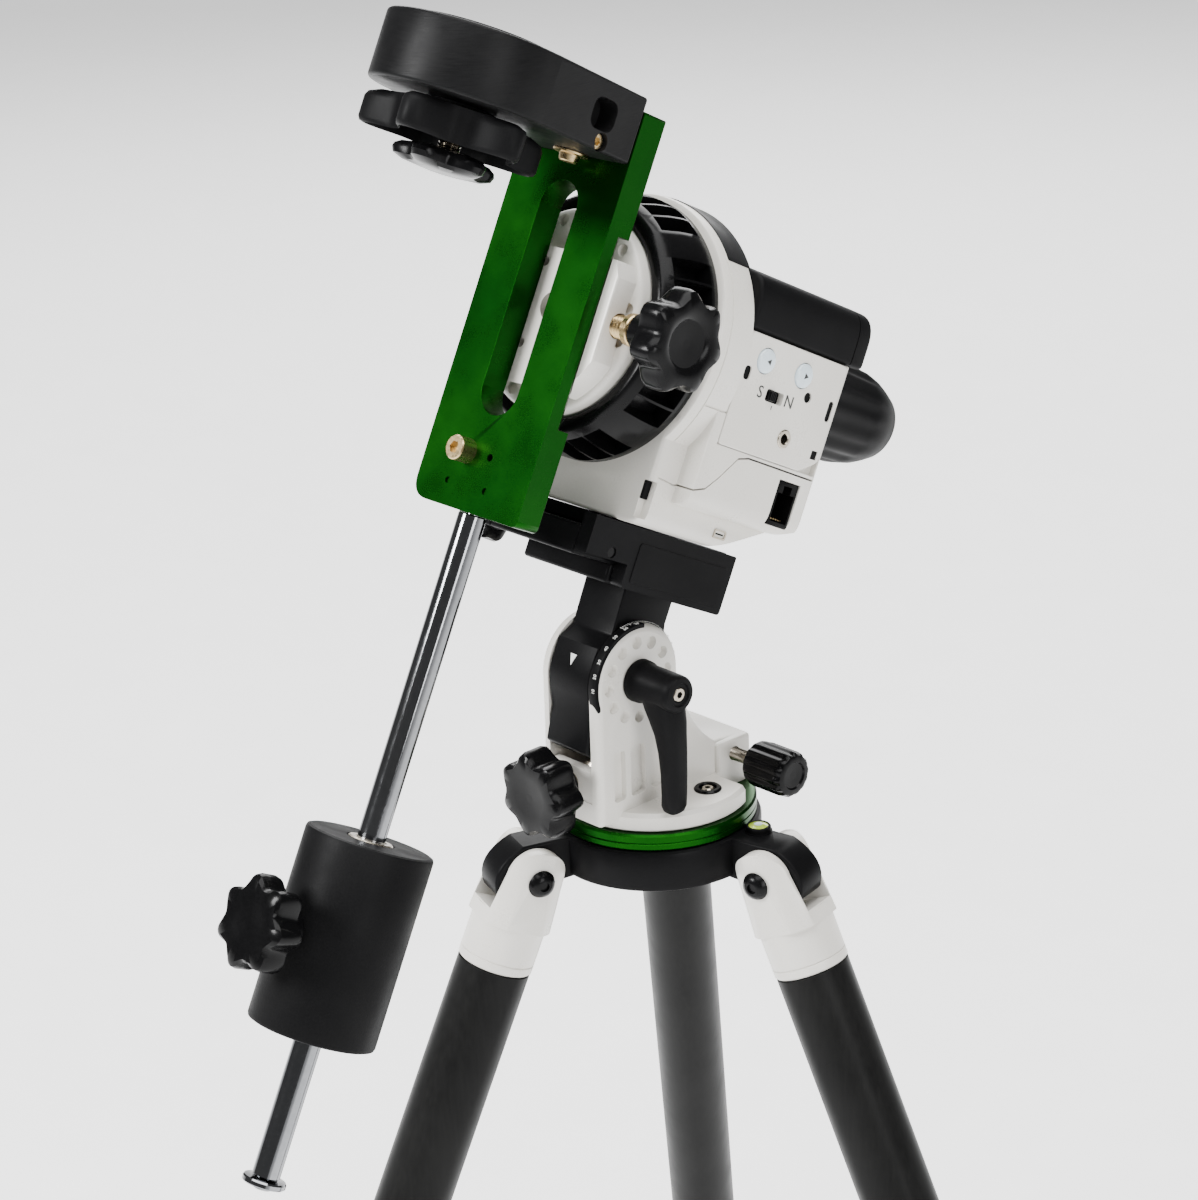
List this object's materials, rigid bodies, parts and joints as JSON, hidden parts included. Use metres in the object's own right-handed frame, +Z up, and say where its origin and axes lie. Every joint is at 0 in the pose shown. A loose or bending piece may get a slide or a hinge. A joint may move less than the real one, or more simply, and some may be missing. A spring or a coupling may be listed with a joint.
{
  "type": "equatorial mount",
  "caption": "Portable equatorial tracking mount with a latitude base, slotted green bracket, counterweight and declination head, on a folding aluminium tripod.",
  "frame": {"origin": "centre of the whole mount's footprint box, on the ground", "axes": "+Z up, the celestial pole towards -Y, and +X to the right hand of a person facing the pole's opposite side of the mount"},
  "size_m": [0.5004, 0.5168, 0.9238],
  "materials": {
    "green_anodised": "anodised, satin",
    "cream_enamel": "satin enamel",
    "tube_anodised": "black anodised",
    "foot_rubber": "matt",
    "steel": "turned",
    "chrome_shaft": "polished",
    "weight_iron": "black enamelled",
    "button_plastic": "glossy",
    "gloss_black_plastic": "glossy",
    "black_enamel": "satin",
    "matte_black_plastic": "satin"
  },
  "bodies": {
    "tripod_head": {"tripod_head": "black_enamel", "azimuth_ring": "green_anodised", "centre_bolt": "steel", "leg_pin_1": "gloss_black_plastic", "leg_pin_2": "gloss_black_plastic", "leg_pin_3": "gloss_black_plastic"},
    "leg_1": {"leg_joint_1": "cream_enamel", "upper_tube_1": "tube_anodised"},
    "leg_collar_1": {"leg_collar_1": "matte_black_plastic"},
    "lower_leg_1": {"lower_tube_1": "tube_anodised", "rubber_foot_1": "foot_rubber"},
    "leg_2": {"leg_joint_2": "cream_enamel", "upper_tube_2": "tube_anodised"},
    "leg_collar_2": {"leg_collar_2": "matte_black_plastic"},
    "lower_leg_2": {"lower_tube_2": "tube_anodised", "rubber_foot_2": "foot_rubber"},
    "leg_3": {"leg_joint_3": "cream_enamel", "upper_tube_3": "tube_anodised"},
    "leg_collar_3": {"leg_collar_3": "matte_black_plastic"},
    "lower_leg_3": {"lower_tube_3": "tube_anodised", "rubber_foot_3": "foot_rubber"},
    "azimuth_base": {"base_casting": "cream_enamel", "pivot_bolt": "steel"},
    "azimuth_screw_right": {"azimuth_screw_right": "steel"},
    "azimuth_knob_right": {"azimuth_knob_right": "gloss_black_plastic"},
    "azimuth_screw_left": {"azimuth_screw_left": "steel"},
    "azimuth_knob_left": {"azimuth_knob_left": "gloss_black_plastic"},
    "clamp_lever": {"clamp_lever": "matte_black_plastic"},
    "altitude_worm": {"altitude_worm": "steel", "altitude_knob": "gloss_black_plastic"},
    "polar_body": {"altitude_arm": "black_enamel", "dovetail_bar": "black_enamel", "front_housing": "cream_enamel", "side_cover": "cream_enamel", "battery_cover": "matte_black_plastic", "guide_port": "matte_black_plastic", "polar_scope": "matte_black_plastic", "stepper_motor": "steel"},
    "saddle_jaw": {"saddle_jaw": "black_enamel"},
    "saddle_knob": {"saddle_knob": "gloss_black_plastic"},
    "slew_button_front": {"slew_button_front": "button_plastic"},
    "slew_button_rear": {"slew_button_rear": "button_plastic"},
    "hemisphere_switch": {"hemisphere_switch": "matte_black_plastic"},
    "date_ring": {"date_ring": "matte_black_plastic"},
    "eyepiece_ring": {"eyepiece_ring": "matte_black_plastic"},
    "polar_head": {"ra_spindle": "steel", "ra_saddle": "cream_enamel", "bracket": "green_anodised", "weight_shaft": "chrome_shaft", "shaft_end_cap": "chrome_shaft", "dec_arm": "black_enamel"},
    "ra_worm": {"ra_worm": "steel"},
    "clutch_ring": {"clutch_ring": "gloss_black_plastic"},
    "clamp_bolt": {"clamp_bolt": "steel"},
    "clamp_knob": {"clamp_knob": "gloss_black_plastic"},
    "counterweight": {"counterweight": "weight_iron"},
    "weight_lock_knob": {"weight_lock_knob": "gloss_black_plastic"},
    "dec_turntable": {"dec_turntable": "black_enamel"},
    "dec_clutch_wheel": {"dec_clutch_wheel": "gloss_black_plastic"},
    "dec_lock_knob": {"dec_lock_knob": "gloss_black_plastic"}
  },
  "joints": [
    {"name": "leg_1_fold", "type": "hinge", "parent": "tripod_head", "child": "leg_1", "pos_m": [-0.06607, -0.03254, 0.53311], "axis": [0.9472, -0.3206, 0], "range_deg": [0, 22.5]},
    {"name": "leg_1_lock", "type": "hinge", "parent": "leg_1", "child": "leg_collar_1", "pos_m": [-0.12819, -0.21607, 0.07218], "axis": [0.1242, 0.3671, 0.9219], "range_deg": [0, 110]},
    {"name": "leg_1_extend", "type": "slide", "parent": "leg_1", "child": "lower_leg_1", "axis": [-0.1242, -0.3671, -0.9219], "range_m": [0, 0.34]},
    {"name": "leg_2_fold", "type": "hinge", "parent": "tripod_head", "child": "leg_2", "pos_m": [0.01695, 0.04039, 0.53311], "axis": [-0.1959, 0.9806, 0], "range_deg": [0, 22.5]},
    {"name": "leg_2_lock", "type": "hinge", "parent": "leg_2", "child": "leg_collar_2", "pos_m": [0.20695, 0.07836, 0.07218], "axis": [-0.38, -0.0759, 0.9219], "range_deg": [0, 110]},
    {"name": "leg_2_extend", "type": "slide", "parent": "leg_2", "child": "lower_leg_2", "axis": [0.38, 0.0759, -0.9219], "range_m": [0, 0.34]},
    {"name": "leg_3_fold", "type": "hinge", "parent": "tripod_head", "child": "leg_3", "pos_m": [-0.08772, 0.07582, 0.53311], "axis": [-0.7513, -0.66, 0], "range_deg": [0, 22.5]},
    {"name": "leg_3_lock", "type": "hinge", "parent": "leg_3", "child": "leg_collar_3", "pos_m": [-0.2156, 0.22138, 0.07218], "axis": [0.2558, -0.2911, 0.9219], "range_deg": [0, 110]},
    {"name": "leg_3_extend", "type": "slide", "parent": "leg_3", "child": "lower_leg_3", "axis": [-0.2558, 0.2911, -0.9219], "range_m": [0, 0.34]},
    {"name": "azimuth", "type": "hinge", "parent": "tripod_head", "child": "azimuth_base", "pos_m": [-0.04561, 0.02789, 0.56311], "axis": [0, 0, 1], "range_deg": [-7, 7]},
    {"name": "azimuth_screw_right_travel", "type": "slide", "parent": "azimuth_base", "child": "azimuth_screw_right", "axis": [1, 0, 0], "range_m": [-0.0042, 0.0042]},
    {"name": "azimuth_knob_right_turn", "type": "hinge", "parent": "azimuth_screw_right", "child": "azimuth_knob_right", "pos_m": [-0.00061, 0.05839, 0.57111], "axis": [1, 0, 0], "range_deg": [-1500, 1500]},
    {"name": "azimuth_screw_left_travel", "type": "slide", "parent": "azimuth_base", "child": "azimuth_screw_left", "axis": [1, 0, 0], "range_m": [-0.0042, 0.0042]},
    {"name": "azimuth_knob_left_turn", "type": "hinge", "parent": "azimuth_screw_left", "child": "azimuth_knob_left", "pos_m": [-0.09061, 0.05839, 0.57111], "axis": [1, 0, 0], "range_deg": [-1500, 1500]},
    {"name": "clamp_lever_turn", "type": "hinge", "parent": "azimuth_base", "child": "clamp_lever", "pos_m": [-0.01561, 0.00319, 0.62311], "axis": [1, 0, 0], "range_deg": [-60, 35]},
    {"name": "altitude", "type": "hinge", "parent": "azimuth_base", "child": "polar_body", "pos_m": [-0.04561, 0.00319, 0.62311], "axis": [-1, 0, 0], "range_deg": [-17, 57]},
    {"name": "altitude_worm_turn", "type": "hinge", "parent": "azimuth_base", "child": "altitude_worm", "pos_m": [-0.04561, -0.03211, 0.57841], "axis": [0, 1, 0], "range_deg": [-3000, 9600]},
    {"name": "saddle_jaw_open", "type": "slide", "parent": "polar_body", "child": "saddle_jaw", "axis": [1, 0, 0], "range_m": [0, 0.003]},
    {"name": "saddle_knob_turn", "type": "hinge", "parent": "polar_body", "child": "saddle_knob", "pos_m": [-0.09061, -0.0231, 0.69228], "axis": [1, 0, 0], "range_deg": [0, 1160]},
    {"name": "slew_button_front_press", "type": "slide", "parent": "polar_body", "child": "slew_button_front", "axis": [-1, 0, 0], "range_m": [0, 0.0011], "stiffness_N_per_m": 900, "springref_m": -0.0011},
    {"name": "slew_button_rear_press", "type": "slide", "parent": "polar_body", "child": "slew_button_rear", "axis": [-1, 0, 0], "range_m": [0, 0.0011], "stiffness_N_per_m": 900, "springref_m": -0.0011},
    {"name": "hemisphere_switch_slide", "type": "slide", "parent": "polar_body", "child": "hemisphere_switch", "axis": [0, 0.8894, -0.4571], "range_m": [0, 0.005]},
    {"name": "date_ring_turn", "type": "hinge", "parent": "polar_body", "child": "date_ring", "pos_m": [-0.04561, 0.09345, 0.73245], "axis": [0, -0.8894, 0.4571], "continuous": true},
    {"name": "eyepiece_focus", "type": "hinge", "parent": "polar_body", "child": "eyepiece_ring", "pos_m": [-0.04561, 0.11124, 0.72331], "axis": [0, -0.8894, 0.4571], "range_deg": [-170, 170]},
    {"name": "right_ascension", "type": "hinge", "parent": "polar_body", "child": "polar_head", "pos_m": [-0.04561, -0.02751, 0.79461], "axis": [0, -0.8894, 0.4571], "continuous": true},
    {"name": "ra_worm_turn", "type": "hinge", "parent": "polar_body", "child": "ra_worm", "pos_m": [-0.02661, 0.02121, 0.72752], "axis": [1, 0, 0], "continuous": true},
    {"name": "clutch_ring_turn", "type": "hinge", "parent": "polar_head", "child": "clutch_ring", "pos_m": [-0.04561, -0.00083, 0.7809], "axis": [0, -0.8894, 0.4571], "range_deg": [0, 40]},
    {"name": "clamp_bolt_travel", "type": "slide", "parent": "polar_head", "child": "clamp_bolt", "axis": [1, 0, 0], "range_m": [0, 0.004]},
    {"name": "clamp_knob_turn", "type": "hinge", "parent": "clamp_bolt", "child": "clamp_knob", "pos_m": [0.01439, -0.01925, 0.78924], "axis": [1, 0, 0], "range_deg": [-970, 0]},
    {"name": "counterweight_slide", "type": "slide", "parent": "polar_head", "child": "counterweight", "axis": [0, -0.4571, -0.8894], "range_m": [-0.115, 0.058]},
    {"name": "weight_lock_turn", "type": "hinge", "parent": "counterweight", "child": "weight_lock_knob", "pos_m": [-0.04561, -0.19214, 0.57273], "axis": [0, -0.8894, 0.4571], "range_deg": [-180, 0]},
    {"name": "declination", "type": "hinge", "parent": "polar_head", "child": "dec_turntable", "pos_m": [-0.04561, -0.06368, 0.88066], "axis": [0, 0.4571, 0.8894], "continuous": true},
    {"name": "dec_clutch_turn", "type": "hinge", "parent": "polar_head", "child": "dec_clutch_wheel", "pos_m": [-0.04561, -0.06368, 0.88066], "axis": [0, 0.4571, 0.8894], "range_deg": [0, 90]},
    {"name": "dec_lock_turn", "type": "hinge", "parent": "polar_head", "child": "dec_lock_knob", "pos_m": [-0.04561, -0.06368, 0.88066], "axis": [0, 0.4571, 0.8894], "range_deg": [0, 360]}
  ],
  "couplings": [
    {"joint": "azimuth_screw_right_travel", "follows": "azimuth", "m_per_rad": 0.0305},
    {"joint": "azimuth_knob_right_turn", "follows": "azimuth", "ratio": -191.64},
    {"joint": "azimuth_screw_left_travel", "follows": "azimuth", "m_per_rad": 0.0305},
    {"joint": "azimuth_knob_left_turn", "follows": "azimuth", "ratio": -191.64},
    {"joint": "altitude_worm_turn", "follows": "altitude", "ratio": 160},
    {"joint": "saddle_knob_turn", "follows": "saddle_jaw_open", "rad_per_m": 5026.6},
    {"joint": "ra_worm_turn", "follows": "right_ascension", "ratio": 144},
    {"joint": "clamp_knob_turn", "follows": "clamp_bolt_travel", "rad_per_m": -4188.8}
  ]
}
